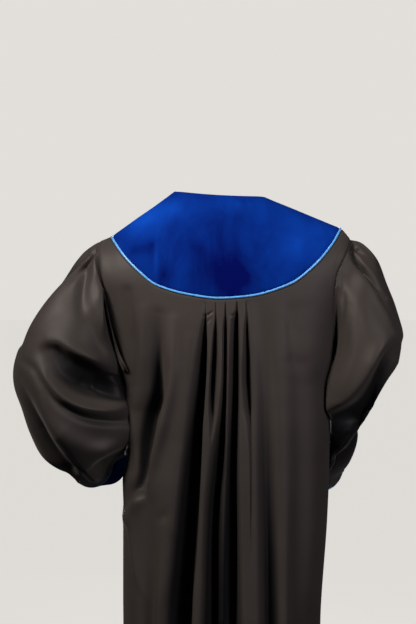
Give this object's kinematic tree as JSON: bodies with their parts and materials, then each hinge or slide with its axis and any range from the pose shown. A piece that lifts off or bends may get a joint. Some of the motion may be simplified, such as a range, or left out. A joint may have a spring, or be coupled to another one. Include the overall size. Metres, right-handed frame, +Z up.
{
  "type": "judicial robe",
  "caption": "Full-length black judicial robe worn with the hands at the hips: velvet yoke edged in piping, pleated back, full sleeves gathered into velvet cuffs.",
  "frame": {"origin": "on the centre back line at the height of the neck opening, midway between front and back, where the wearer's shoulders hold the robe", "axes": "+Z up, +Y out of the back of the robe, -Y out of its front, +X to the wearer's left"},
  "size_m": [0.8399, 0.4707, 1.3651],
  "materials": {
    "robe_cloth": "fine smooth weave with a soft satin sheen",
    "blue_velvet": "short-pile velvet",
    "blue_satin": "satin over cord"
  },
  "bodies": {
    "root": {"back_panel": "robe_cloth", "front_left": "robe_cloth", "front_right": "robe_cloth", "front_fly": "robe_cloth", "sleeve_left": "robe_cloth", "sleeve_right": "robe_cloth", "yoke_back": "blue_velvet", "yoke_front_left": "blue_velvet", "yoke_front_right": "blue_velvet", "cuff_left": "blue_velvet", "cuff_right": "blue_velvet", "piping_back": "blue_satin", "piping_front_left": "blue_satin", "piping_front_right": "blue_satin", "piping_cuff_left": "blue_satin", "piping_cuff_right": "blue_satin"}
  },
  "joints": []
}
